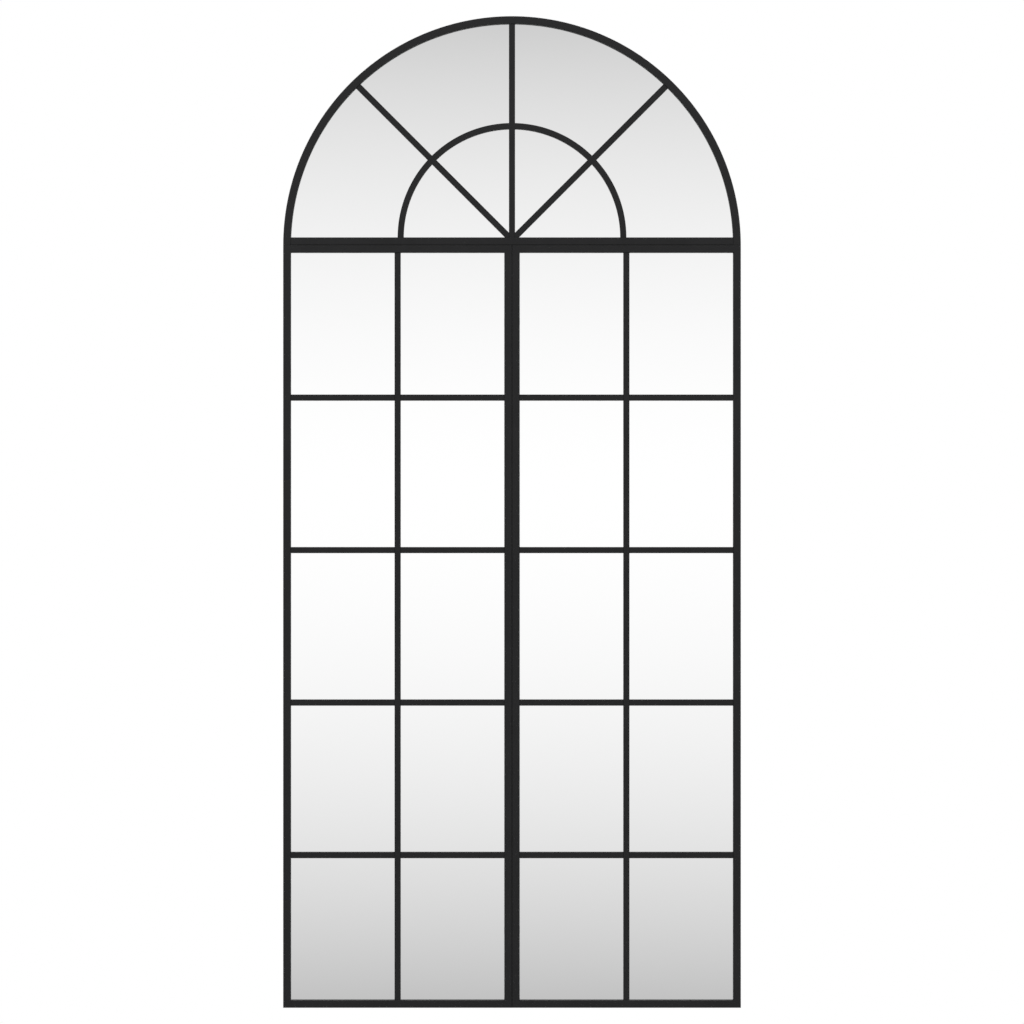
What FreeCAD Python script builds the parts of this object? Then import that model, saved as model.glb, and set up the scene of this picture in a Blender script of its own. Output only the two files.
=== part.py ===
import FreeCAD, Part
import math
import os

# Arched window mirror: a steel-framed, wall-hung mirror that looks like a tall arched window.
# Three sections are framed and glazed apart: two tall panels side by side, and a half-round
# fanlight on top. Bolts through their touching tubes join them into one mirror.
#
# Millimetres. +X is to the right as one looks at the mirror, +Y to the wall, +Z up.
# The origin is midway between the entry holes of the two keyhole plates, on the tubes' rear plane.

# ---- driving dimensions ---------------------------------------------------------------------

panel_width = 450.0  # outside width of one tall panel, and outside radius of the fanlight
panel_height = 1500.0  # outside height of a tall panel
panel_rows = 5  # panes in the height of a panel

tube_face = 15.0  # rectangular steel tube, as seen from the front
tube_wall = 1.2
tube_corner = 1.0  # flat across the tube's outside corners

muntin_face = 12.0  # flat bar of the grille, as seen from the front
muntin_depth = 6.0
muntin_setback = 2.0  # from the tube's front face back to the grille's
muntin_edge = 0.6  # broken front edges of the flat bar

ring_radius = 219.0  # centre line of the half ring in the fanlight
spoke_angle = 45.0  # slanted spokes, up from the horizontal
hub_drop = 5.0  # the spokes' centre lines meet this far below the sill's top face

glass = 4.0  # silvered float glass
tape = 1.0  # double-sided foam tape between glass and board
tape_width = 20.0
tape_inset = 45.0  # from the glass's edge to a strip's centre line
tape_end_gap = 30.0  # from the glass's edge to a strip's end
fan_tape_strips = 3
board = 3.0  # hardboard backing
pane_gap = 0.5  # glass to the tube, all round
board_gap = 0.2  # board to the tube: it fits more tightly, so that no light shows past the glass

bolt_radius = 2.5  # M5
bolt_length = 38.0
hex_flats = 8.0  # across the flats of the bolt's head and of its nut
bolt_head = 3.5
nut_height = 4.0
bolt_hole_play = 0.25  # round the bolt in the tube walls
thread_play = 0.05  # round a bolt in its nut
recess_play = 0.5  # before and behind a hexagon in the recess at the back

clip_sheet = 1.2  # bent sheet-steel clip that holds glass and board in
clip_width = 14.0
clip_foot = 12.0  # length of the foot on the board
clip_overlap = 12.5  # length of the foot on the tube
clip_gap = 0.5  # from the tube's side to the clip's web
clip_bend = 0.8  # flat across the outside of the clip's bends

clip_slot = 2.0  # half the width of the slot for a clip's self-drilling screw
screw_head = 2.2  # height of that screw's head

plate_sheet = 2.0  # keyhole plate, welded into the panel's upper outer corner
plate_width = 30.0
plate_height = 48.0
keyhole_up = 14.0  # plate's lower edge to the entry hole's centre
keyhole_entry = 5.5  # radius of the entry hole, for the screw's head
keyhole_slot = 2.75  # half the slot's width, for the screw's neck
keyhole_rise = 18.0  # entry hole's centre up to the centre of the slot's round end

bumper_radius = 5.0
bumper_proud = 1.5  # a bumper stands this much past the clip screws' heads
bumper_inset = 80.0  # stile's end to a bumper's centre

# ---- what follows from them -----------------------------------------------------------------

rear_recess = hex_flats + 2 * recess_play  # behind the board, where bolts and clips go
tube_depth = muntin_setback + muntin_depth + glass + tape + board + rear_recess

front_y = -tube_depth
muntin_front_y = front_y + muntin_setback
muntin_back_y = muntin_front_y + muntin_depth
muntin_half_y = (muntin_front_y + muntin_back_y) / 2  # where the halved crossings meet
glass_back_y = muntin_back_y + glass
tape_back_y = glass_back_y + tape
board_back_y = tape_back_y + board
bolt_y = board_back_y / 2  # middle of the recess

seam_z = plate_height - keyhole_up + tube_face  # top of the tall panels, underside of the fanlight
sill_top_z = seam_z + tube_face
rail_under_z = seam_z - tube_face
bottom_z = seam_z - panel_height
bottom_rail_top_z = bottom_z + tube_face

rim_inner = panel_width - tube_face
hub_z = sill_top_z - hub_drop
row_pitch = panel_height / panel_rows
cross_zs = [seam_z - row_pitch * row for row in range(1, panel_rows)]
row_middles = [seam_z - row_pitch * (row + 0.5) for row in range(panel_rows)]
clip_rows = row_middles[0], row_middles[-1]  # clips hold the panes near the panel's ends
bolt_rows = row_middles[1::2]  # bolts join the inner stiles at every other row
rail_bolt_xs = (panel_width / 4, panel_width * 3 / 4)
rail_clip_x = panel_width / 2
rim_clip_angles = (30, 70, 110, 150)

X = FreeCAD.Vector(1, 0, 0)
Y = FreeCAD.Vector(0, 1, 0)
Z = FreeCAD.Vector(0, 0, 1)
SIDES = (("left", -1), ("right", 1))


def at(x, y, z):
    return FreeCAD.Vector(x, y, z)


def block(x0, x1, y0, y1, z0, z1):
    """A box between two corners given in any order."""
    low = at(min(x0, x1), min(y0, y1), min(z0, z1))
    return Part.makeBox(abs(x1 - x0), abs(y1 - y0), abs(z1 - z0), low)


def prism(points, y0, y1):
    """A solid with the outline points (x, z), from y0 back to y1."""
    wire = Part.makePolygon([at(x, y0, z) for x, z in points + points[:1]])
    return Part.Face(wire).extrude(Y * (y1 - y0))


def turned(shape, centre, degrees):
    """The shape turned about a line along Y, so that +X swings up towards +Z."""
    copy = shape.copy()
    copy.rotate(centre, Y, -degrees)
    return copy


def tube_section(x0, x1):
    """The tube's section from x0 to x1, in a level plane: flattened corners and a square bore."""
    cut = tube_corner
    points = [
        (x0 + cut, front_y), (x1 - cut, front_y), (x1, front_y + cut), (x1, -cut),
        (x1 - cut, 0), (x0 + cut, 0), (x0, -cut), (x0, front_y + cut),
    ]
    outer = Part.Face(Part.makePolygon([at(x, y, 0) for x, y in points + points[:1]]))
    bore = Part.makePlane(
        x1 - x0 - 2 * tube_wall, tube_depth - 2 * tube_wall,
        at(x0 + tube_wall, front_y + tube_wall, 0),
    )
    return outer.cut(bore)


# ---- what passes through the tubes ----------------------------------------------------------


def rail_bolt_holes(side):
    """Upright holes through the sill and a panel's top rail."""
    radius = bolt_radius + bolt_hole_play
    return [
        Part.makeCylinder(radius, 4 * tube_face, at(side * x, bolt_y, seam_z - 2 * tube_face), Z)
        for x in rail_bolt_xs
    ]


def stile_bolt_holes():
    """Level holes through the two inner stiles."""
    radius = bolt_radius + bolt_hole_play
    return [
        Part.makeCylinder(radius, 4 * tube_face, at(-2 * tube_face, bolt_y, z), X)
        for z in bolt_rows
    ]


# ---- the tall panels ------------------------------------------------------------------------


def mitred_stile(x_out, x_in):
    """An upright tube of a panel, mitred at both ends; its shorter side is at x_in."""
    x0, x1 = min(x_out, x_in), max(x_out, x_in)
    bar = tube_section(x0, x1).extrude(Z * panel_height)
    bar.translate(Z * bottom_z)
    outline = [(x_out, bottom_z), (x_in, bottom_rail_top_z), (x_in, rail_under_z), (x_out, seam_z)]
    return bar.common(prism(outline, front_y, 0))


def mitred_rail(x_out, x_in, z_out, z_in):
    """A level tube of a panel, mitred at both ends; its shorter side is at z_in."""
    length = abs(x_in - x_out)
    bar = tube_section(0, tube_face).extrude(Z * length)
    bar.rotate(at(0, 0, 0), Y, 90)
    bar.translate(at(min(x_out, x_in), 0, max(z_out, z_in)))
    step = tube_face if x_in > x_out else -tube_face
    outline = [(x_out, z_out), (x_in, z_out), (x_in - step, z_in), (x_out + step, z_in)]
    return bar.common(prism(outline, front_y, 0))


def upright_muntin(x, z0, z1):
    """A bar of the grille with its front edges broken."""
    half = muntin_face / 2
    bar = block(x - half, x + half, muntin_front_y, muntin_back_y, z0, z1)
    front = [edge for edge in bar.Edges if is_front_edge(edge, Z)]
    return bar.makeChamfer(muntin_edge, front)


def level_muntin(x0, x1, z):
    half = muntin_face / 2
    bar = block(x0, x1, muntin_front_y, muntin_back_y, z - half, z + half)
    front = [edge for edge in bar.Edges if is_front_edge(edge, X)]
    return bar.makeChamfer(muntin_edge, front)


def is_front_edge(edge, way):
    """Whether a straight edge lies in the grille's front plane and runs along way."""
    ends = [vertex.Point for vertex in edge.Vertexes]
    in_front = all(abs(point.y - muntin_front_y) < 1e-6 for point in ends)
    run = ends[1] - ends[0]
    return in_front and abs(abs(run.normalize().dot(way)) - 1) < 1e-6


def panel_pieces(name, side):
    """The nodes of one tall panel. side is +1 on the right and -1 on the left."""
    outer = side * panel_width
    outer_in = side * (panel_width - tube_face)
    inner_in = side * tube_face
    middle = side * panel_width / 2

    # The upright bar is notched from behind and the cross bars from in front, half their depth each.
    x0, x1 = sorted((inner_in, outer_in))
    half = muntin_face / 2
    notches = [
        block(x0, x1, muntin_half_y, muntin_back_y, z - half, z + half) for z in cross_zs
    ]
    upright = upright_muntin(middle, bottom_rail_top_z, rail_under_z)
    crossing = block(
        middle - half, middle + half, muntin_front_y, muntin_half_y, bottom_z, seam_z
    )

    pane = (x0 + pane_gap, x1 - pane_gap, bottom_rail_top_z + pane_gap, rail_under_z - pane_gap)
    back = (x0 + board_gap, x1 - board_gap, bottom_rail_top_z + board_gap, rail_under_z - board_gap)
    strips = []
    for x in (pane[0] + tape_inset, pane[1] - tape_inset):
        strips.append(
            block(x - tape_width / 2, x + tape_width / 2, glass_back_y, tape_back_y,
                  pane[2] + tape_end_gap, pane[3] - tape_end_gap)
        )

    nodes = {
        f"{name}_outer_stile": mitred_stile(outer, outer_in),
        f"{name}_inner_stile": mitred_stile(0, inner_in).cut(stile_bolt_holes()),
        f"{name}_top_rail": mitred_rail(0, outer, seam_z, rail_under_z).cut(rail_bolt_holes(side)),
        f"{name}_bottom_rail": mitred_rail(0, outer, bottom_z, bottom_rail_top_z),
        f"{name}_upright_muntin": upright.cut(notches),
        f"{name}_mirror": block(pane[0], pane[1], muntin_back_y, glass_back_y, pane[2], pane[3]),
        f"{name}_mounting_tape": Part.makeCompound(strips),
        f"{name}_backing_board": block(back[0], back[1], tape_back_y, board_back_y, back[2], back[3]),
        f"{name}_clips": Part.makeCompound([clip(*place) for place in panel_clip_places(side)]),
    }
    for row, z in enumerate(cross_zs, start=1):
        nodes[f"{name}_cross_muntin_{row}"] = level_muntin(x0, x1, z).cut(crossing)
    return nodes


# ---- the fanlight ---------------------------------------------------------------------------


def half_disc(radius, floor_z, y0, y1):
    """A disc about the fanlight's centre, cut off level at floor_z."""
    disc = Part.makeCylinder(radius, y1 - y0, at(0, y0, seam_z), Y)
    return disc.common(block(-radius, radius, y0, y1, floor_z, seam_z + radius))


def half_ring():
    """The curved bar of the grille, standing on the sill."""
    half = muntin_face / 2
    inner, outer = ring_radius - half, ring_radius + half
    points = [
        (inner, muntin_back_y), (inner, muntin_front_y + muntin_edge),
        (inner + muntin_edge, muntin_front_y), (outer - muntin_edge, muntin_front_y),
        (outer, muntin_front_y + muntin_edge), (outer, muntin_back_y),
    ]
    wire = Part.makePolygon([at(x, y, sill_top_z) for x, y in points + points[:1]])
    return Part.Face(wire).revolve(at(0, 0, sill_top_z), -Y, 180)


def spoke(degrees):
    """A straight bar from the hub to the rim, its outer end coped to the rim's inside."""
    start = at(0, 0, hub_z)
    bar = level_muntin(0, panel_width + tube_face, hub_z)
    return turned(bar, start, degrees).common(
        half_disc(rim_inner, sill_top_z, muntin_front_y, muntin_back_y)
    )


def fan_pieces():
    """The nodes of the half-round section over the tall panels."""
    rim = tube_section(rim_inner, panel_width).revolve(at(0, 0, 0), -Y, 180)
    rim.translate(Z * seam_z)
    sill = tube_section(0, tube_face).extrude(Z * 2 * rim_inner)
    sill.rotate(at(0, 0, 0), Y, 90)
    sill.translate(at(-rim_inner, 0, sill_top_z))
    sill = sill.common(half_disc(rim_inner, seam_z, front_y, 0))
    sill = sill.cut(rail_bolt_holes(-1) + rail_bolt_holes(1))

    # The ring passes in front of the spokes at the crossings. The slanted spokes butt
    # against the sides of the upright one, and all three stand on the sill.
    ring = half_ring()
    upright = spoke(90)
    slanted = {"left": spoke(180 - spoke_angle), "right": spoke(spoke_angle)}
    half = muntin_face / 2
    beside = block(-half, half, muntin_front_y, muntin_back_y, seam_z, seam_z + panel_width)
    slanted = {name: bar.cut(beside) for name, bar in slanted.items()}
    front_half = block(-panel_width, panel_width, muntin_front_y, muntin_half_y,
                       seam_z, seam_z + panel_width)
    back_half = front_half.translated(Y * (muntin_depth / 2))
    ring_front = ring.common(front_half)
    bars_back = [bar.common(back_half) for bar in [upright, *slanted.values()]]

    pane_radius = rim_inner - pane_gap
    pane_floor = sill_top_z + pane_gap
    strips = []
    spacing = (pane_radius - 2 * tape_inset) / fan_tape_strips
    for strip in range(fan_tape_strips):
        z = pane_floor + tape_inset + spacing * strip
        reach = math.sqrt(pane_radius ** 2 - (z + tape_width / 2 - seam_z) ** 2) - tape_end_gap
        strips.append(
            block(-reach, reach, glass_back_y, tape_back_y, z - tape_width / 2, z + tape_width / 2)
        )

    nodes = {
        "arch_rim": rim,
        "arch_sill_rail": sill,
        "arch_ring_muntin": ring.cut(bars_back),
        "arch_upright_spoke": upright.cut(ring_front),
        "arch_left_spoke": slanted["left"].cut(ring_front),
        "arch_right_spoke": slanted["right"].cut(ring_front),
        "arch_mirror": half_disc(pane_radius, pane_floor, muntin_back_y, glass_back_y),
        "arch_mounting_tape": Part.makeCompound(strips),
        "arch_backing_board": half_disc(
            rim_inner - board_gap, sill_top_z + board_gap, tape_back_y, board_back_y
        ),
        "arch_clips": Part.makeCompound([clip(*place) for place in fan_clip_places()]),
    }
    return nodes


# ---- clips, bolts, hangers and bumpers ------------------------------------------------------


def panel_clip_places(side):
    """Clips of one tall panel: a point (x, z) on a tube's inner edge, and the way into the opening."""
    outer = side * (panel_width - tube_face)
    inner = side * tube_face
    into_pane = 0 if side > 0 else 180
    places = [(inner, z, into_pane) for z in clip_rows]
    places += [(outer, z, into_pane + 180) for z in clip_rows]
    places += [(side * rail_clip_x, rail_under_z, -90), (side * rail_clip_x, bottom_rail_top_z, 90)]
    return places


def fan_clip_places():
    """Clips of the fanlight, on its sill and round its rim."""
    places = [(side * rail_clip_x, sill_top_z, 90) for _, side in SIDES]
    for angle in rim_clip_angles:
        turn = math.radians(angle)
        x = rim_inner * math.cos(turn)
        z = seam_z + rim_inner * math.sin(turn)
        places.append((x, z, angle + 180))
    return places


def clip(x, z, into):
    """A Z-shaped clip: a slotted foot on the tube's back, a web and a foot on the board.

    It is drawn beside the line x = 0 with the opening towards +X, then turned and moved to its place.
    """
    web_in = clip_gap + clip_sheet
    foot_back = board_back_y + clip_sheet
    outline = [
        (-clip_overlap, 0), (clip_gap, 0),
        (clip_gap, board_back_y + clip_bend), (clip_gap + clip_bend, board_back_y),
        (web_in + clip_foot, board_back_y), (web_in + clip_foot, foot_back), (web_in, foot_back),
        (web_in, clip_sheet - clip_bend), (web_in - clip_bend, clip_sheet),
        (-clip_overlap, clip_sheet),
    ]
    low = -clip_width / 2
    wire = Part.makePolygon([at(px, py, low) for px, py in outline + outline[:1]])
    bent = Part.Face(wire).extrude(Z * clip_width)
    screw_x = -tube_face / 2
    slot_end = Part.makeCylinder(clip_slot, clip_sheet, at(screw_x, 0, 0), Y)
    slot = block(-clip_overlap, screw_x, 0, clip_sheet, -clip_slot, clip_slot)
    bent = turned(bent.cut([slot_end, slot]), at(0, 0, 0), into)
    bent.translate(at(x, 0, z))
    return bent


def hexagon(height):
    """A hexagonal prism up from the origin, with two of its flats facing +Y and -Y."""
    corner = hex_flats / math.sqrt(3)
    points = []
    for step in range(6):
        turn = math.radians(60 * step)
        points.append(at(corner * math.cos(turn), corner * math.sin(turn), 0))
    return Part.Face(Part.makePolygon(points + points[:1])).extrude(Z * height)


def bolt_and_nut(through):
    """A bolt down from z = 0 through that much tube, and its nut."""
    shank = Part.makeCylinder(bolt_radius, bolt_length, at(0, 0, -bolt_length), Z)
    bolt = hexagon(bolt_head).fuse(shank)
    nut = hexagon(nut_height).cut(Part.makeCylinder(bolt_radius + thread_play, nut_height))
    nut.translate(Z * (-through - nut_height))
    return bolt, nut


def joining_hardware():
    """Upright bolts through sill and top rails, and level ones through the inner stiles."""
    bolts, nuts = [], []
    for x in [side * x for _, side in SIDES for x in rail_bolt_xs]:
        for made, group in zip(bolt_and_nut(2 * tube_face), (bolts, nuts)):
            made.translate(at(x, bolt_y, sill_top_z))
            group.append(made)
    for z in bolt_rows:
        for made, group in zip(bolt_and_nut(2 * tube_face), (bolts, nuts)):
            made.rotate(at(0, 0, 0), Y, 90)
            made.translate(at(tube_face, bolt_y, z))
            group.append(made)
    return Part.makeCompound(bolts), Part.makeCompound(nuts)


def keyhole_plate(side):
    """A plate across the corner of stile and top rail, with a round entry and a slot up from it."""
    x_out = side * (panel_width - tube_face)
    x_in = x_out - side * plate_width
    x = (x_out + x_in) / 2
    plate = block(x_out, x_in, -plate_sheet, 0, -keyhole_up, plate_height - keyhole_up)
    back = at(x, -plate_sheet, 0)
    entry = Part.makeCylinder(keyhole_entry, plate_sheet, back, Y)
    slot = block(x - keyhole_slot, x + keyhole_slot, -plate_sheet, 0, 0, keyhole_rise)
    slot_end = Part.makeCylinder(keyhole_slot, plate_sheet, back + Z * keyhole_rise, Y)
    return plate.cut([entry.fuse([slot, slot_end])])


def bumper(x, z):
    """A round rubber foot on the tube's back, which keeps the screw heads off the wall."""
    height = clip_sheet + screw_head + bumper_proud
    return Part.makeCylinder(bumper_radius, height, at(x, 0, z), Y)


def bumpers():
    """One at the top of the arch, and two on each panel's outer stile."""
    stile_x = panel_width - tube_face / 2
    feet = [bumper(0, seam_z + panel_width - tube_face / 2)]
    for _, side in SIDES:
        for z in (seam_z - bumper_inset, bottom_z + bumper_inset):
            feet.append(bumper(side * stile_x, z))
    return Part.makeCompound(feet)


# ---- build ----------------------------------------------------------------------------------

nodes = fan_pieces()
for name, side in SIDES:
    nodes.update(panel_pieces(name, side))
nodes["joining_bolts"], nodes["joining_nuts"] = joining_hardware()
nodes["keyhole_plates"] = Part.makeCompound([keyhole_plate(side) for _, side in SIDES])
nodes["wall_bumpers"] = bumpers()

os.makedirs("parts", exist_ok=True)
for name, shape in nodes.items():
    solids = Part.makeCompound(shape.Solids) if len(shape.Solids) > 1 else shape.Solids[0]
    solids.exportStep(f"parts/{name}.step")
    print(name, len(shape.Solids), "solids", round(shape.Volume), "mm3", shape.isValid())
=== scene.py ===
import math

import bmesh
import bpy
from mathutils import Matrix, Vector


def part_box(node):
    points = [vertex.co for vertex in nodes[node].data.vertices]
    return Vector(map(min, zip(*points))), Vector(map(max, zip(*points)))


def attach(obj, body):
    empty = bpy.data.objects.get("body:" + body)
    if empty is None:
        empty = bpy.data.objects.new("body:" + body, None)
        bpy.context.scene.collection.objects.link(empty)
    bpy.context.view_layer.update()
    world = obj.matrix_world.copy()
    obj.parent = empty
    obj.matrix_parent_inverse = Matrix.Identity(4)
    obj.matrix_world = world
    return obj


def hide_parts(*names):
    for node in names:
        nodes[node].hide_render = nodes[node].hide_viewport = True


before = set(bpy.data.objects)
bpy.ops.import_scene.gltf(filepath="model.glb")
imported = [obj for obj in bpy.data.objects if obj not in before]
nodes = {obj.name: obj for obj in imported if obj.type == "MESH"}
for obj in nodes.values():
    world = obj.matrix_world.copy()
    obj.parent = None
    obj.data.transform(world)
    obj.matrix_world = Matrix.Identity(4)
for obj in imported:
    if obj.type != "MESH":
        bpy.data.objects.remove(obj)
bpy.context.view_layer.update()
mm = 0.001

# ---- Frame tubes ----------------------------------------------------------------------------
# Rectangular mild-steel tube, 15 mm wide and 25 mm deep, with rolled corners. The tall panels'
# tubes are mitred and welded; the arch's tube is rolled to a half ring. All are ground flush and
# powder-coated black before the panels and the arch are bolted together.

tube_corner = 1.5 * mm  # the tube's rolled corner radius
corner_steps = 4
arch_steps = 128  # straight lengths in a half ring

rim_low, rim_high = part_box("arch_rim")
sill_low, sill_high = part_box("arch_sill_rail")
outer_low, outer_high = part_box("right_outer_stile")
tube_face = outer_high.x - outer_low.x
front_y, back_y = rim_low.y, rim_high.y
seam_z, top_z = rim_low.z, rim_high.z
bottom_z = outer_low.z
rim_radius = rim_high.x
fan_centre = Vector((0, 0, seam_z))


def linear(hex_colour):
    """An sRGB hex colour as the linear red, green, blue and alpha of a shader."""
    parts = [int(hex_colour[start:start + 2], 16) / 255 for start in (1, 3, 5)]
    return [p / 12.92 if p <= 0.04045 else ((p + 0.055) / 1.055) ** 2.4 for p in parts] + [1]


def add_node(tree, kind, sockets=None, **settings):
    """A shader node. Each socket gets a value, or a link from the output socket given for it."""
    node = tree.nodes.new("ShaderNode" + kind)
    for name, value in settings.items():
        setattr(node, name, value)
    for name, value in (sockets or {}).items():
        if isinstance(value, bpy.types.NodeSocket):
            tree.links.new(value, node.inputs[name])
        else:
            node.inputs[name].default_value = value
    return node


def new_material(name):
    """An empty node material, and its tree."""
    material = bpy.data.materials.new(name)
    material.use_nodes = True
    material.node_tree.nodes.clear()
    return material, material.node_tree


def noise(tree, size, detail=2.0, **more):
    """A noise pattern on the piece's own coordinates, whose blotches are about `size` metres."""
    place = add_node(tree, "TexCoord").outputs["Object"]
    sockets = {"Vector": place, "Scale": 1 / size, "Detail": detail, **more}
    return add_node(tree, "TexNoise", sockets).outputs["Fac"]


def ramp(tree, fac, *stops):
    """A colour ramp through (place, hex colour) stops."""
    node = add_node(tree, "ValToRGB", {"Fac": fac})
    elements = node.color_ramp.elements
    while len(elements) < len(stops):
        elements.new(0.5)
    for element, (place, colour) in zip(elements, stops):
        element.position = place
        element.color = linear(colour)
    return node.outputs["Color"]


def span(tree, fac, low, high):
    """A pattern of 0 to 1 moved to the range low to high."""
    sockets = {"Value": fac, "To Min": low, "To Max": high}
    return add_node(tree, "MapRange", sockets).outputs["Result"]


def surface(tree, **sockets):
    """The tree's Principled shader, joined to its output. An underscore stands for a space."""
    named = {name.replace("_", " "): value for name, value in sockets.items()}
    shader = add_node(tree, "BsdfPrincipled", named)
    add_node(tree, "OutputMaterial", {"Surface": shader.outputs["BSDF"]})


coat_peel = 4 * mm  # orange peel; really about 1.5 mm, drawn coarser to show
coat_cloud = 60 * mm  # slow change of tone along a sprayed bar


def powder_coat():
    """Satin black polyester powder: an even near-black that hides the steel's grain. Its low gloss
    is uneven, from the orange peel of a baked coat."""
    material, tree = new_material("satin_black_powder_coat")
    peel = add_node(tree, "Bump", {
        "Strength": 0.12, "Distance": 0.05 * mm, "Height": noise(tree, coat_peel),
    })
    surface(
        tree,
        Base_Color=ramp(tree, noise(tree, coat_cloud), (0.3, "#121213"), (0.7, "#161617")),
        Roughness=span(tree, noise(tree, coat_cloud / 2), 0.40, 0.50),
        Specular_IOR_Level=0.24,
        Normal=peel.outputs["Normal"],
    )
    return material


black_coat = powder_coat()


def make_piece(name, shape, materials, slot, *replaced, smooth_under=40, weighted=True):
    """A finished bmesh as an object that rides on the mirror and stands for the nodes named. Edges
    that turn by more than smooth_under degrees stay sharp."""
    bmesh.ops.recalc_face_normals(shape, faces=shape.faces)
    mesh = bpy.data.meshes.new(name)
    shape.to_mesh(mesh)
    shape.free()
    mesh.shade_smooth()
    mesh.set_sharp_from_angle(angle=math.radians(smooth_under))
    for material in materials:
        mesh.materials.append(material)
    piece = bpy.data.objects.new(name, mesh)
    bpy.context.scene.collection.objects.link(piece)
    if weighted:
        normals = piece.modifiers.new("flat_faces_stay_flat", "WEIGHTED_NORMAL")
        normals.keep_sharp = True
    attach(piece, "root")
    if replaced:
        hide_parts(*replaced)
    return piece


def fit_cube(shape, low, high):
    """A block between two corners, added to the bmesh; its new vertices."""
    low, high = Vector(low), Vector(high)
    size = Matrix.Diagonal([*(high - low), 1])
    middle = Matrix.Translation((low + high) / 2)
    return bmesh.ops.create_cube(shape, size=1, matrix=middle @ size)["verts"]


def round_edges(shape, edges, radius, steps):
    """Rounds edges in a few steps, or takes them off at a slant in one."""
    bmesh.ops.bevel(
        shape, geom=edges, offset=radius, offset_type="OFFSET", segments=steps,
        profile=0.5, affect="EDGES", material=-1, clamp_overlap=True,
    )


def runs_along(edge, axis):
    """Whether a straight edge runs along one axis of the frame: 0, 1 or 2."""
    run = (edge.verts[1].co - edge.verts[0].co).normalized()
    return abs(run[axis]) > 0.999


def cut_off(shape, point, outward):
    """Removes what lies past a plane and closes the cut."""
    geometry = shape.verts[:] + shape.edges[:] + shape.faces[:]
    bmesh.ops.bisect_plane(
        shape, geom=geometry, dist=1e-7, plane_co=point, plane_no=outward, clear_outer=True
    )
    open_edges = [edge for edge in shape.edges if edge.is_boundary]
    bmesh.ops.holes_fill(shape, edges=open_edges, sides=0)


def tube_bar(low, high, axis):
    """A tube's outside, closed at its ends, along one axis and with its long edges rounded."""
    shape = bmesh.new()
    fit_cube(shape, low, high)
    long_edges = [edge for edge in shape.edges if runs_along(edge, axis)]
    round_edges(shape, long_edges, tube_corner, corner_steps)
    return shape


def mitred_tube(node, axis, pane_middle):
    """A panel's tube with 45 degree ends that open towards the pane."""
    low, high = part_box(node)
    shape = tube_bar(low, high, axis)
    other = 2 - axis
    for end, sign in ((low, -1), (high, 1)):
        corner = (low + high) / 2
        corner[axis] = end[axis]
        inward = 1 if pane_middle[other] > corner[other] else -1
        corner[other] -= inward * tube_face / 2
        outward = Vector((0, 0, 0))
        outward[axis] = sign
        outward[other] = inward
        cut_off(shape, corner, outward)
    return shape


def half_turn(shape, centre):
    """Spins a flat section from +X up and over to -X about a line along Y, and closes its ends."""
    geometry = shape.verts[:] + shape.edges[:] + shape.faces[:]
    bmesh.ops.spin(
        shape, geom=geometry, cent=centre, axis=(0, -1, 0), angle=math.pi, steps=arch_steps,
        use_merge=False, use_duplicate=False,
    )
    open_edges = [edge for edge in shape.edges if edge.is_boundary]
    bmesh.ops.holes_fill(shape, edges=open_edges, sides=0)


def rolled_rim():
    """The arch's tube, its rounded section spun through a half turn about the fanlight's centre."""
    shape = bmesh.new()
    low = Vector((rim_radius - tube_face, front_y, seam_z))
    high = Vector((rim_radius, back_y, seam_z))
    corners = [(low.x, low.y), (high.x, low.y), (high.x, high.y), (low.x, high.y)]
    section = shape.faces.new([shape.verts.new((x, y, seam_z)) for x, y in corners])
    bmesh.ops.bevel(
        shape, geom=section.verts[:], offset=tube_corner, offset_type="OFFSET",
        segments=corner_steps, profile=0.5, affect="VERTICES", material=-1,
    )
    half_turn(shape, fan_centre)
    return shape


make_piece("arch_rim_tube", rolled_rim(), [black_coat], "black_powder_coat", "arch_rim")
make_piece(
    "arch_sill_tube", tube_bar(sill_low, sill_high, 0), [black_coat], "black_powder_coat",
    "arch_sill_rail",
)
for side in ("left", "right"):
    pane_low, pane_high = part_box(f"{side}_mirror")
    middle = (pane_low + pane_high) / 2
    for bar, axis in (("outer_stile", 2), ("inner_stile", 2), ("top_rail", 0), ("bottom_rail", 0)):
        node = f"{side}_{bar}"
        make_piece(
            f"{node}_tube", mitred_tube(node, axis, middle), [black_coat], "black_powder_coat",
            node,
        )

# ---- Grille ---------------------------------------------------------------------------------
# Flat steel bar, 12 mm wide and 6 mm thick with broken front edges. Bars are notched half through
# where they cross, butted against tube, sill and rim, welded, and coated with the frame.

bar_edge = 0.6 * mm  # how much is broken off the bar's front edges
spoke_angles = (45, 90, 135)  # degrees up from the sill
hub_drop = 5 * mm  # the spokes' middle lines meet this far below the sill's top

bar_low, bar_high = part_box("arch_upright_spoke")
bar_face = bar_high.x - bar_low.x
notch_y = (bar_low.y + bar_high.y) / 2
ring_centre = Vector((0, 0, sill_high.z))
hub = ring_centre - Vector((0, 0, hub_drop))
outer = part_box("arch_ring_muntin")[1].x
inner = outer - bar_face


def bent_bar(outline):
    """A flat bar bent to a half ring that stands on the sill; outline is (radius, y) points."""
    shape = bmesh.new()
    shape.faces.new([shape.verts.new((radius, y, ring_centre.z)) for radius, y in outline])
    half_turn(shape, ring_centre)
    return shape


def as_mesh(shape):
    """A finished bmesh as a plain mesh."""
    bmesh.ops.recalc_face_normals(shape, faces=shape.faces)
    mesh = bpy.data.meshes.new("shape")
    shape.to_mesh(mesh)
    shape.free()
    return mesh


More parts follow.
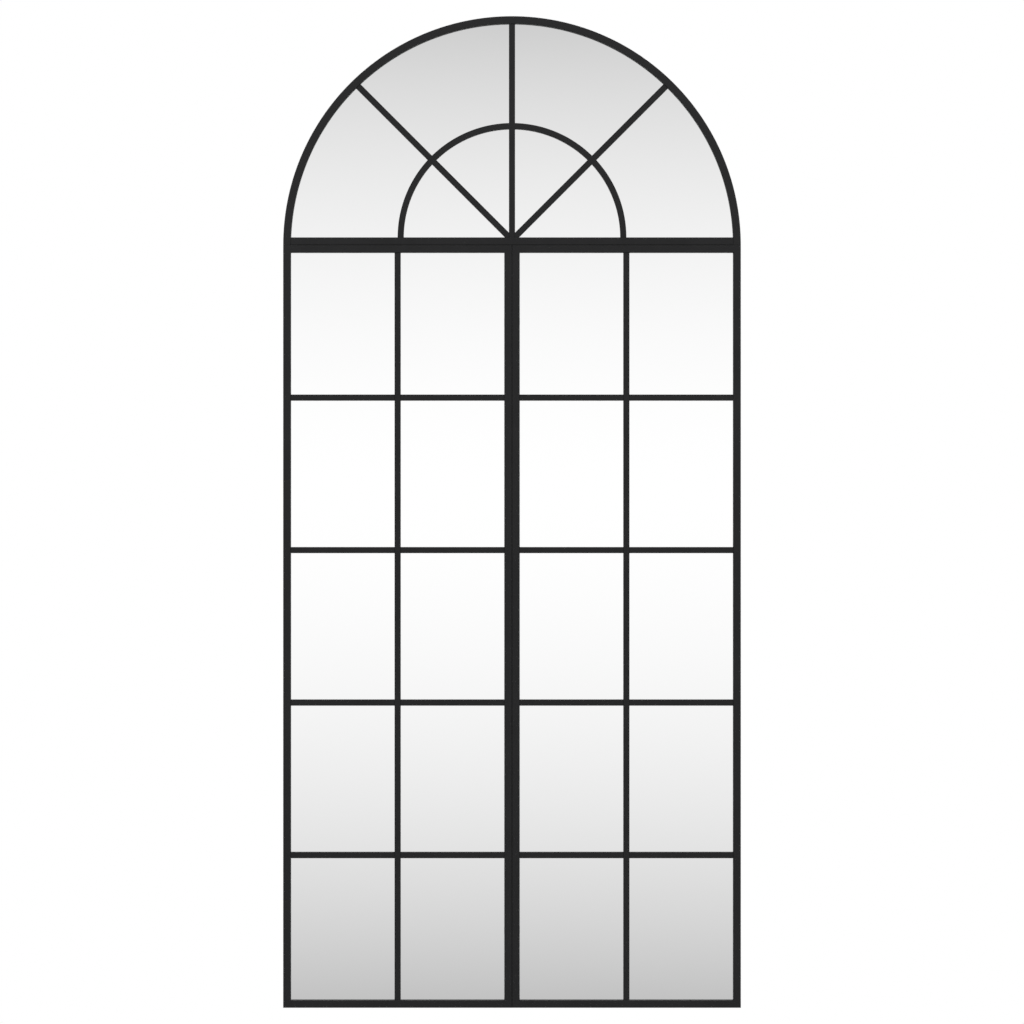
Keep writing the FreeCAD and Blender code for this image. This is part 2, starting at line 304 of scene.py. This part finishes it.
def cut_out(shape, cutter):
    """What is left of a closed bmesh where a closed cutter is taken out of it."""
    blank = bpy.data.objects.new("blank", as_mesh(shape))
    tool = bpy.data.objects.new("cutter", as_mesh(cutter))
    for thing in (blank, tool):
        bpy.context.scene.collection.objects.link(thing)
    cut = blank.modifiers.new("cut", "BOOLEAN")
    cut.operation = "DIFFERENCE"
    cut.solver = "EXACT"
    cut.object = tool
    bpy.context.view_layer.update()
    finished = blank.evaluated_get(bpy.context.evaluated_depsgraph_get())
    left = bmesh.new()
    left.from_mesh(finished.data)
    bmesh.ops.remove_doubles(left, verts=left.verts, dist=0.001 * mm)
    for thing in (blank, tool):
        bpy.data.objects.remove(thing)
    return left


def ring_bar():
    """The half ring, notched half through from behind where the three spokes pass."""
    ring = bent_bar([
        (inner, bar_high.y), (inner, bar_low.y + bar_edge), (inner + bar_edge, bar_low.y),
        (outer - bar_edge, bar_low.y), (outer, bar_low.y + bar_edge), (outer, bar_high.y),
    ])
    notches = bmesh.new()
    for angle in spoke_angles:
        notch = fit_cube(
            notches, (inner - bar_face, notch_y, -bar_face / 2),
            (outer + bar_face, bar_high.y + bar_face, bar_face / 2),
        )
        along_spoke = Matrix.Translation(hub) @ Matrix.Rotation(-math.radians(angle), 4, "Y")
        bmesh.ops.transform(notches, matrix=along_spoke, verts=notch)
    return cut_out(ring, notches)


def paint(node, material):
    """A CAD node keeps its shape and gets this finish."""
    nodes[node].data.materials.clear()
    nodes[node].data.materials.append(material)


make_piece(
    "arch_ring_bar", ring_bar(), [black_coat], "black_powder_coat", "arch_ring_muntin"
)
grille = ["arch_upright_spoke", "arch_left_spoke", "arch_right_spoke"]
for side in ("left", "right"):
    grille += [name for name in nodes if name.startswith(side) and "muntin" in name]
for bar in grille:
    paint(bar, black_coat)

# ---- Mirror panes ---------------------------------------------------------------------------
# Clear float glass, 4 mm, silvered and painted grey on the back, with arrised edges. One pane fills
# each section and lies against the back of the grille.

arris = 0.25 * mm
close_fit = 0.4 * mm  # drawn this much fuller all round, so that no dark slit shows at the tubes
square_corner = math.radians(60)  # edges that turn by more than this are the pane's own
edge_grind = 3 * mm  # the frosting's patches; the grit's own 0.1 mm marks are too fine to show
paint_cloud = 25 * mm  # curtain-coated paint thickens and thins over a few centimetres


def silvered_glass():
    """Silver seen through clear glass: a clean reflection with no tint that the eye can name."""
    material, tree = new_material("silvered_float_glass")
    surface(tree, Base_Color=linear("#FFFFFF"), Metallic=1.0, Roughness=0.0)
    return material


def glass_edge():
    """The ground edge of float glass: frosted, and greener than the face."""
    material, tree = new_material("arrised_glass_edge")
    surface(
        tree,
        Base_Color=ramp(tree, noise(tree, edge_grind), (0.3, "#9DBBAE"), (0.7, "#B4CCC2")),
        Roughness=0.35,
    )
    return material


def backing_paint():
    """The grey lacquer over the silvering: flat, dull and slightly cloudy."""
    material, tree = new_material("grey_mirror_backing_paint")
    surface(
        tree,
        Base_Color=ramp(tree, noise(tree, paint_cloud), (0.3, "#6E7173"), (0.7, "#787B7D")),
        Roughness=0.55,
    )
    return material


pane_finishes = [silvered_glass(), glass_edge(), backing_paint()]


def finish_pane(node, shape):
    """Arrises the pane's edges and gives face, edge and back their own finish."""
    shape.normal_update()
    across = [edge for edge in shape.edges if not runs_along(edge, 1)]
    rims = [edge for edge in across if edge.calc_face_angle(0) > square_corner]
    bmesh.ops.bevel(
        shape, geom=rims, offset=arris, offset_type="OFFSET", segments=1, profile=0.5,
        affect="EDGES", material=-1,
    )
    bmesh.ops.recalc_face_normals(shape, faces=shape.faces)
    for face in shape.faces:
        face.material_index = 0 if face.normal.y < -0.99 else 2 if face.normal.y > 0.99 else 1
    make_piece(f"{node}_pane", shape, pane_finishes, "silvered_glass", node, weighted=False)


for side in ("left", "right"):
    shape = bmesh.new()
    pane_low, pane_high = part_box(f"{side}_mirror")
    fuller = Vector((close_fit, 0, close_fit))
    fit_cube(shape, pane_low - fuller, pane_high + fuller)
    finish_pane(f"{side}_mirror", shape)

pane_low, pane_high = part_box("arch_mirror")
pane_radius = pane_high.z - seam_z + close_fit
shape = bmesh.new()
facing_front = Matrix.Translation((0, (pane_low.y + pane_high.y) / 2, seam_z))
facing_front @= Matrix.Rotation(math.radians(90), 4, "X")
bmesh.ops.create_cone(
    shape, cap_ends=True, segments=2 * arch_steps, radius1=pane_radius, radius2=pane_radius,
    depth=pane_high.y - pane_low.y, matrix=facing_front,
)
cut_off(shape, Vector((0, 0, pane_low.z - close_fit)), Vector((0, 0, -1)))
finish_pane("arch_mirror", shape)

# ---- Backing boards and tape ----------------------------------------------------------------
# Hardboard, 3 mm, smooth side out: brown pressed wood fibre. Strips of white double-sided foam tape
# hold each pane to its board.

fibre_length = 1.6 * mm  # bundles of pressed wood fibre
fleck_length = 4 * mm  # shreds of bark
board_cloud = 90 * mm  # the mat is not laid quite evenly
foam_cell = 1.5 * mm  # really about 0.5 mm, drawn coarser to show


def multiplied(tree, first, second):
    """Two colours multiplied. The Mix node's sockets 0, 6, 7 and 2 are its factor and colours."""
    node = add_node(tree, "Mix", data_type="RGBA", blend_type="MULTIPLY")
    node.inputs[0].default_value = 1.0
    tree.links.new(first, node.inputs[6])
    tree.links.new(second, node.inputs[7])
    return node.outputs[2]


def hardboard():
    """Even brown with short tangled fibres, and fewer dark flecks of bark between them."""
    material, tree = new_material("pressed_hardboard")
    fibres = noise(tree, fibre_length, detail=6.0, Distortion=1.2)
    fibre_tone = ramp(tree, fibres, (0.35, "#6F4F35"), (0.65, "#855F41"))
    bark = ramp(tree, noise(tree, fleck_length, detail=3.0), (0.60, "#FFFFFF"), (0.76, "#A89B90"))
    cloud = ramp(tree, noise(tree, board_cloud), (0.3, "#E6E2DE"), (0.7, "#FFFFFF"))
    bump = add_node(tree, "Bump", {"Strength": 0.25, "Distance": 0.08 * mm, "Height": fibres})
    surface(
        tree, Base_Color=multiplied(tree, multiplied(tree, fibre_tone, bark), cloud),
        Roughness=span(tree, fibres, 0.55, 0.72), Normal=bump.outputs["Normal"],
    )
    return material


def foam_tape():
    """White closed-cell foam: matte, and pitted by its cells."""
    material, tree = new_material("white_foam_tape")
    cells = noise(tree, foam_cell)
    bump = add_node(tree, "Bump", {"Strength": 0.3, "Distance": 0.1 * mm, "Height": cells})
    surface(
        tree, Base_Color=ramp(tree, cells, (0.3, "#D9D9D4"), (0.7, "#EDEDE9")), Roughness=0.85,
        Normal=bump.outputs["Normal"],
    )
    return material


board_fibre = hardboard()
tape_foam = foam_tape()
for section in ("arch", "left", "right"):
    paint(f"{section}_backing_board", board_fibre)
    paint(f"{section}_mounting_tape", tape_foam)

# ---- Clips and their screws -----------------------------------------------------------------
# Z-shaped clips of bent zinc-plated sheet reach from the tube's back down to the board. A pan-head
# cross-recessed screw, self-drilling, holds each one to the tube's rear wall.

zinc_mark = 6 * mm  # the faint cloudy marks that drawn and plated sheet shows


def zinc_plate():
    """Bright zinc: grey and slightly blue, with faint drawing marks and a soft gloss."""
    material, tree = new_material("bright_zinc_plate")
    marks = noise(tree, zinc_mark, detail=4.0)
    bump = add_node(tree, "Bump", {"Strength": 0.1, "Distance": 0.05 * mm, "Height": marks})
    surface(
        tree, Base_Color=ramp(tree, marks, (0.3, "#A9ABAE"), (0.7, "#C6C8CA")), Metallic=1.0,
        Roughness=span(tree, marks, 0.28, 0.42), Normal=bump.outputs["Normal"],
    )
    return material


zinc = zinc_plate()
for section in ("arch", "left", "right"):
    paint(f"{section}_clips", zinc)

screw_radius = 1.7 * mm
screw_length = 9 * mm
drill_point = 2.5 * mm
head_radius = 3.3 * mm
head_height = 2.2 * mm
recess_reach = 2.1 * mm
recess_wing = 1.1 * mm
recess_depth = 1.4 * mm
recess_taper = 0.6  # the recess's size at its floor, as a share of its mouth
clip_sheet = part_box("arch_clips")[1].y


def turned(profile, steps):
    """A turned shape: (radius, z) points from axis to axis, spun once round the Z axis."""
    shape = bmesh.new()
    points = [shape.verts.new((radius, 0, z)) for radius, z in profile]
    line = [shape.edges.new(pair) for pair in zip(points, points[1:])]
    bmesh.ops.spin(
        shape, geom=points + line, cent=(0, 0, 0), axis=(0, 0, 1), angle=2 * math.pi, steps=steps,
        use_merge=True, use_duplicate=False,
    )
    bmesh.ops.remove_doubles(shape, verts=shape.verts, dist=0.001 * mm)
    return shape


def cross_recess():
    """The recess as a cutter: a cross with four wings that narrows towards its floor."""
    shape = bmesh.new()
    half_wing = recess_wing / 2
    arm = [(recess_reach, -half_wing), (recess_reach, half_wing), (half_wing, half_wing)]
    mouth = []
    for quarter in range(4):
        turn = Matrix.Rotation(math.radians(90 * quarter), 4, "Z")
        mouth += [turn @ Vector((x, y, head_height)) for x, y in arm]
    top = shape.faces.new([shape.verts.new(point) for point in mouth])
    sunk = bmesh.ops.extrude_face_region(shape, geom=[top])["geom"]
    sunk = [part for part in sunk if isinstance(part, bmesh.types.BMVert)]
    bmesh.ops.translate(shape, verts=sunk, vec=(0, 0, -recess_depth))
    bmesh.ops.scale(shape, verts=sunk, vec=(recess_taper, recess_taper, 1))
    return shape


def pan_head_screw():
    """One screw along +Z, its head's underside at z = 0, with a cross cut in its domed head."""
    blank = turned([
        (0, -screw_length), (screw_radius, drill_point - screw_length), (screw_radius, 0),
        (head_radius, 0), (head_radius, 0.5 * head_height), (0.88 * head_radius, 0.8 * head_height),
        (0.55 * head_radius, 0.96 * head_height), (0, head_height),
    ], 32)
    return as_mesh(cut_out(blank, cross_recess()))


def add_copy(shape, mesh, matrix):
    """A copy of a mesh added to the bmesh, turned and moved by the matrix."""
    before = len(shape.verts)
    shape.from_mesh(mesh)
    shape.verts.ensure_lookup_table()
    bmesh.ops.transform(shape, matrix=matrix, verts=shape.verts[before:])


panel_width = rim_radius
row_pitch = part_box("left_cross_muntin_1")[0].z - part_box("left_cross_muntin_2")[0].z
half_tube = tube_face / 2
rim_clip_angles = (30, 70, 110, 150)  # degrees up from the sill
head_turn = 2.4  # radians from one screw's cross to the next, so that no two stand alike


def clip_screw_places():
    """Points (x, z) on the tubes' middle lines where the clips' screws go in."""
    places = [(sign * panel_width / 2, seam_z + half_tube) for sign in (-1, 1)]
    reach = rim_radius - half_tube
    for angle in rim_clip_angles:
        turn = math.radians(angle)
        places.append((reach * math.cos(turn), seam_z + reach * math.sin(turn)))
    for sign in (-1, 1):
        for z in (seam_z - row_pitch / 2, bottom_z + row_pitch / 2):
            places += [(sign * half_tube, z), (sign * (panel_width - half_tube), z)]
        places += [(sign * panel_width / 2, z) for z in (seam_z - half_tube, bottom_z + half_tube)]
    return places


screw = pan_head_screw()
head_back = Matrix.Rotation(math.radians(-90), 4, "X")
shape = bmesh.new()
for number, (x, z) in enumerate(clip_screw_places()):
    driven = head_back @ Matrix.Rotation(head_turn * number, 4, "Z")
    add_copy(shape, screw, Matrix.Translation((x, clip_sheet, z)) @ driven)
make_piece("clip_screws", shape, [zinc], "zinc_plated_steel", weighted=False)

# ---- Joining bolts --------------------------------------------------------------------------
# M5 hexagon bolts and nuts, zinc-plated, in the recess behind the boards. Upright ones join the
# fanlight's sill to the panels' top rails, and level ones join the two inner stiles.

thread_pitch = 0.8 * mm
thread_depth = 0.45 * mm
thread_share = 0.55  # of the bolt's length
bolt_radius = 2.5 * mm
bolt_length = 38 * mm
bolt_head = 3.5 * mm
nut_height = 4 * mm
across_flats = 8 * mm
hex_chamfer = 0.45 * mm
nut_top = -2 * tube_face  # two tubes below the head
bolt_y = (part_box("joining_bolts")[0].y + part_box("joining_bolts")[1].y) / 2


def hexagon(low, high):
    """A hexagonal prism along Z with its flats facing +Y and -Y and the corners taken off."""
    shape = bmesh.new()
    corner = across_flats / math.sqrt(3)
    bmesh.ops.create_cone(
        shape, cap_ends=True, segments=6, radius1=corner, radius2=corner, depth=high - low,
        matrix=Matrix.Translation((0, 0, (low + high) / 2)),
    )
    bmesh.ops.rotate(
        shape, verts=shape.verts, cent=(0, 0, 0), matrix=Matrix.Rotation(math.radians(30), 3, "Z")
    )
    ends = [edge for edge in shape.edges if not runs_along(edge, 2)]
    round_edges(shape, ends, hex_chamfer, 1)
    return shape


def threaded_rod(low, high):
    """The bolt's shank along Z: plain, then grooved at the thread's pitch towards the low end."""
    root_radius = bolt_radius - thread_depth
    grooves = int(thread_share * (high - low) / thread_pitch)
    profile = [(0, low), (root_radius, low)]
    for groove in range(grooves):
        z = low + groove * thread_pitch
        profile += [(bolt_radius, z + 0.4 * thread_pitch), (bolt_radius, z + 0.6 * thread_pitch),
                    (root_radius, z + thread_pitch)]
    thread_end = low + grooves * thread_pitch
    profile += [(bolt_radius, thread_end + 0.4 * thread_pitch), (bolt_radius, high), (0, high)]
    return turned(profile, 24)


bolt_shape = hexagon(0, bolt_head)
add_copy(bolt_shape, as_mesh(threaded_rod(-bolt_length, bolt_head / 2)), Matrix())
bolt = as_mesh(bolt_shape)
nut = as_mesh(hexagon(nut_top - nut_height, nut_top))
upright_bolts = [
    Matrix.Translation((sign * panel_width * share, bolt_y, seam_z + tube_face))
    for sign in (-1, 1) for share in (0.25, 0.75)
]
head_right = Matrix.Rotation(math.radians(90), 4, "Y")
level_bolts = [
    Matrix.Translation((tube_face, bolt_y, seam_z - row_pitch * (row + 0.5))) @ head_right
    for row in (1, 3)
]
for name, mesh in (("joining_bolts", bolt), ("joining_nuts", nut)):
    shape = bmesh.new()
    for place in upright_bolts + level_bolts:
        add_copy(shape, mesh, place)
    make_piece(f"{name}_zinc", shape, [zinc], "zinc_plated_steel", name, smooth_under=30,
               weighted=False)

# ---- Keyhole plates and welds ---------------------------------------------------------------
# Plates of 2 mm steel with a keyhole each, welded across the panels' upper outer corners and coated
# with the frame. Short fillet welds hold them, and fill the frame's inner corners behind the boards.

paint("keyhole_plates", black_coat)

plate_width = 30 * mm
bead_radius = 1.6 * mm
bead_step = 1.1 * mm  # from one drop of weld to the next
bead_ripple = 0.2 * mm
bead_unevenness = 0.06  # by which share a drop's radius departs from the next one's
plate_bead = 12 * mm  # length of each bead on a keyhole plate
plate_bead_margin = 5 * mm  # from a plate's corner to the bead
bead_sink = 0.7 * mm  # a bead's middle line below the plate's surface
corner_inset = 0.3 * mm  # a bead's middle line from the two tubes that it fills between
corner_front = 2.5 * mm  # from the board's back to a corner bead
corner_back = 3 * mm  # from a corner bead to the tubes' rear plane
rim_lean = 0.6 * mm  # how far the rim has curved in at the sill's top


def weld_bead(shape, start, end):
    """A round bead along a line, with a ripple for each drop of weld and no two drops the same."""
    start, end = Vector(start), Vector(end)
    run = end - start
    drops = max(2, round(run.length / bead_step))
    step = run.length / drops
    shoulder = 0.7 * bead_radius
    profile = [(0, -bead_radius), (shoulder, -shoulder)]
    for drop in range(drops):
        grown = bead_radius * (1 + bead_unevenness * math.sin(2.1 * drop))
        profile += [(grown, (drop + 0.3) * step), (grown - bead_ripple, (drop + 0.9) * step)]
    profile += [(shoulder, run.length + shoulder), (0, run.length + bead_radius)]
    along = run.to_track_quat("Z", "Y").to_matrix().to_4x4()
    add_copy(shape, as_mesh(turned(profile, 16)), Matrix.Translation(start) @ along)


def frame_welds():
    """Beads on the keyhole plates, and in the inner corners of all three frames."""
    shape = bmesh.new()
    plate_low, plate_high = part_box("keyhole_plates")
    plate_y = plate_high.y - bead_sink
    corner_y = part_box("left_backing_board")[1].y + corner_front
    upper_z = seam_z - tube_face - corner_inset
    lower_z = bottom_z + tube_face + corner_inset
    sill_z = seam_z + tube_face + corner_inset
    for sign in (-1, 1):
        stile_x = sign * (panel_width - tube_face)
        first_z = plate_low.z + plate_bead_margin
        last_z = plate_high.z - plate_bead_margin - plate_bead
        for z in (first_z, last_z):
            weld_bead(shape, (stile_x, plate_y, z), (stile_x, plate_y, z + plate_bead))
        left_x = stile_x - sign * plate_width / 2 - plate_bead / 2
        weld_bead(shape, (left_x, plate_y, plate_high.z),
                  (left_x + plate_bead, plate_y, plate_high.z))
        inner_x = sign * (tube_face + corner_inset)
        outer_x = sign * (panel_width - tube_face - corner_inset)
        sill_x = sign * (panel_width - tube_face - rim_lean)
        for x, z in ((inner_x, upper_z), (inner_x, lower_z), (outer_x, lower_z), (sill_x, sill_z)):
            weld_bead(shape, (x, corner_y, z), (x, -corner_back, z))
    return shape


make_piece("frame_welds", frame_welds(), [black_coat], "black_powder_coat", smooth_under=80,
           weighted=False)

# ---- Wall bumpers ---------------------------------------------------------------------------
# Round pads of black rubber, glued on the tubes' backs, with moulded round edges.

bumper_edge = 1.2 * mm
bumper_low, bumper_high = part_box("wall_bumpers")
bumper_radius = bumper_high.x - (panel_width - half_tube)
bumper_inset = bumper_low.z + bumper_radius - bottom_z
rubber_grain = 1 * mm  # really about 0.2 mm, drawn coarser to show
rubber_bloom = 4 * mm


def bumper_rubber():
    """Moulded black rubber: matte, with a faint bloom."""
    material, tree = new_material("moulded_black_rubber")
    grain = noise(tree, rubber_grain)
    bump = add_node(tree, "Bump", {"Strength": 0.2, "Distance": 0.05 * mm, "Height": grain})
    surface(
        tree, Base_Color=ramp(tree, noise(tree, rubber_bloom), (0.3, "#1B1B1B"), (0.7, "#242424")),
        Roughness=0.8, Normal=bump.outputs["Normal"],
    )
    return material


def wall_bumpers():
    """Five pads: one at the arch's top and two down each outer stile."""
    shape = bmesh.new()
    stile_x = panel_width - half_tube
    places = [(0, top_z - half_tube)]
    places += [(sign * stile_x, z) for sign in (-1, 1)
               for z in (seam_z - bumper_inset, bottom_z + bumper_inset)]
    for x, z in places:
        pad = bmesh.ops.create_cone(
            shape, cap_ends=True, segments=48, radius1=bumper_radius, radius2=bumper_radius,
            depth=bumper_high.y, matrix=Matrix.Translation((x, bumper_high.y / 2, z)) @ head_back,
        )["verts"]
        rim = [v for v in pad if v.co.y > bumper_high.y / 2]
        edges = [e for e in shape.edges if e.verts[0] in rim and e.verts[1] in rim]
        round_edges(shape, edges, bumper_edge, 4)
    return shape


make_piece("wall_bumper_pads", wall_bumpers(), [bumper_rubber()], "bumper_rubber", "wall_bumpers")

# ---- Camera ---------------------------------------------------------------------------------
# It looks straight at the middle of the mirror from 8 m, so that the frame of 1024 pixels takes in
# 2013 mm at the front of the tubes.

view_width = 2013.2 * mm
distance = 8.0
sensor = 36.0

middle_z = (top_z + bottom_z) / 2
camera_data = bpy.data.cameras.new("camera")
camera_data.sensor_width = sensor
camera_data.lens = sensor * distance / view_width
camera = bpy.data.objects.new("camera", camera_data)
camera.location = (0, front_y - distance, middle_z)
camera.rotation_euler = (math.radians(90), 0, 0)
bpy.context.scene.collection.objects.link(camera)
bpy.context.scene.camera = camera

# ---- Studio ---------------------------------------------------------------------------------
# A white studio. The mirror hangs over a pale floor that fades into the white surroundings. What
# the mirror shows is white level with it, greyer above and below, and lighter again further off.

floor_drop = 0.35  # from the mirror's lower edge down to the floor, in metres as all below
floor_half = 30.0
floor_fade = (0.5, 1.4)  # distances over which the floor turns plain white
ambient_light = 0.5
softbox_side = 1.8
white_slope = 0.0055  # slope of the reflected way at which the surroundings are white
grey_slope = 0.14  # slope from there, up or down, at which they have darkened to their grey
grey_tone = 0.415
steep_slope = 0.53  # steeper ways meet lighter ceiling and floor again, up to this slope
steep_tones = (0.40, 0.88)


def studio_floor():
    """A pale floor round the mirror. Away from it, and behind it, the floor is plain white."""
    shape = bmesh.new()
    bmesh.ops.create_grid(
        shape, x_segments=1, y_segments=1, size=floor_half,
        matrix=Matrix.Translation((0, 0, bottom_z - floor_drop)),
    )
    mesh = bpy.data.meshes.new("studio_floor")
    shape.to_mesh(mesh)
    shape.free()
    material, tree = new_material("pale_studio_floor")
    place = add_node(tree, "TexCoord")
    flat = add_node(
        tree, "VectorMath", {0: place.outputs["Object"], 1: (1.0, 1.0, 0.0)}, operation="MULTIPLY"
    )
    away = add_node(tree, "VectorMath", {0: flat.outputs[0]}, operation="LENGTH")
    fade = add_node(tree, "MapRange", {
        "Value": away.outputs["Value"], "From Min": floor_fade[0], "From Max": floor_fade[1],
    }, interpolation_type="SMOOTHSTEP")
    lit = add_node(tree, "BsdfDiffuse", {"Color": linear("#F4F4F3")})
    white = add_node(tree, "Emission", {"Color": linear("#FFFFFF"), "Strength": 1.0})
    path = add_node(tree, "LightPath")
    seen = add_node(tree, "Math", {0: fade.outputs["Result"], 1: path.outputs["Is Camera Ray"]},
                    operation="MULTIPLY")
    mixed = add_node(tree, "MixShader", {0: seen.outputs[0], 1: lit.outputs[0], 2: white.outputs[0]})
    gone = add_node(tree, "BsdfTransparent")
    glossy = add_node(tree, "MixShader", {
        0: path.outputs["Is Glossy Ray"], 1: mixed.outputs[0], 2: gone.outputs[0],
    })
    add_node(tree, "OutputMaterial", {"Surface": glossy.outputs[0]})
    mesh.materials.append(material)
    floor = bpy.data.objects.new("studio_floor", mesh)
    bpy.context.scene.collection.objects.link(floor)


def studio_world():
    """White to the camera; to mirrors a wash that greys with the square of the slope and lightens
    again towards ceiling and floor; soft even light to the rest."""
    world = bpy.data.worlds.new("studio")
    world.use_nodes = True
    tree = world.node_tree
    tree.nodes.clear()
    place = add_node(tree, "TexCoord")
    way = add_node(tree, "SeparateXYZ", {"Vector": place.outputs["Generated"]})
    slope = add_node(tree, "Math", {0: way.outputs["Z"], 1: white_slope}, operation="SUBTRACT")
    steepness = add_node(tree, "Math", {0: slope.outputs[0]}, operation="ABSOLUTE").outputs[0]
    share = add_node(tree, "MapRange", {"Value": steepness, "From Max": grey_slope})
    fallen = add_node(tree, "Math", {0: share.outputs["Result"], 1: 2.0}, operation="POWER")
    near = span(tree, fallen.outputs[0], 1.0, grey_tone)
    far = add_node(tree, "MapRange", {
        "Value": steepness, "From Max": steep_slope, "To Min": steep_tones[0],
        "To Max": steep_tones[1],
    })
    wash = add_node(tree, "Math", {0: near, 1: far.outputs["Result"]}, operation="MAXIMUM")
    path = add_node(tree, "LightPath")
    seen = add_node(
        tree, "Math", {0: path.outputs["Is Glossy Ray"], 1: path.outputs["Is Transmission Ray"]},
        operation="MAXIMUM",
    )
    soft = add_node(tree, "Background", {"Color": linear("#FFFFFF"), "Strength": ambient_light})
    shown = add_node(tree, "Background", {"Color": linear("#FFFFFF"), "Strength": wash.outputs[0]})
    white = add_node(tree, "Background", {"Color": linear("#FFFFFF"), "Strength": 1.0})
    first = add_node(tree, "MixShader", {0: seen.outputs[0], 1: soft.outputs[0], 2: shown.outputs[0]})
    last = add_node(
        tree, "MixShader", {0: path.outputs["Is Camera Ray"], 1: first.outputs[0], 2: white.outputs[0]}
    )
    add_node(tree, "OutputWorld", {"Surface": last.outputs[0]})
    bpy.context.scene.world = world


def softbox(name, place, power):
    """A square soft light of so many watts that looks at the mirror's middle."""
    data = bpy.data.lights.new(name, "AREA")
    data.shape = "SQUARE"
    data.size = softbox_side
    data.energy = power
    lamp = bpy.data.objects.new(name, data)
    lamp.location = place
    aim = Vector((0, 0, middle_z)) - Vector(place)
    lamp.rotation_euler = aim.to_track_quat("-Z", "Y").to_euler()
    bpy.context.scene.collection.objects.link(lamp)


studio_floor()
studio_world()
softbox("key_softbox", (-2.6, -3.0, 2.6), 84)
softbox("fill_softbox", (2.8, -2.6, 2.4), 82)
softbox("back_softbox", (1.2, 3.2, 2.4), 70)

bpy.context.scene.view_settings.view_transform = "Standard"
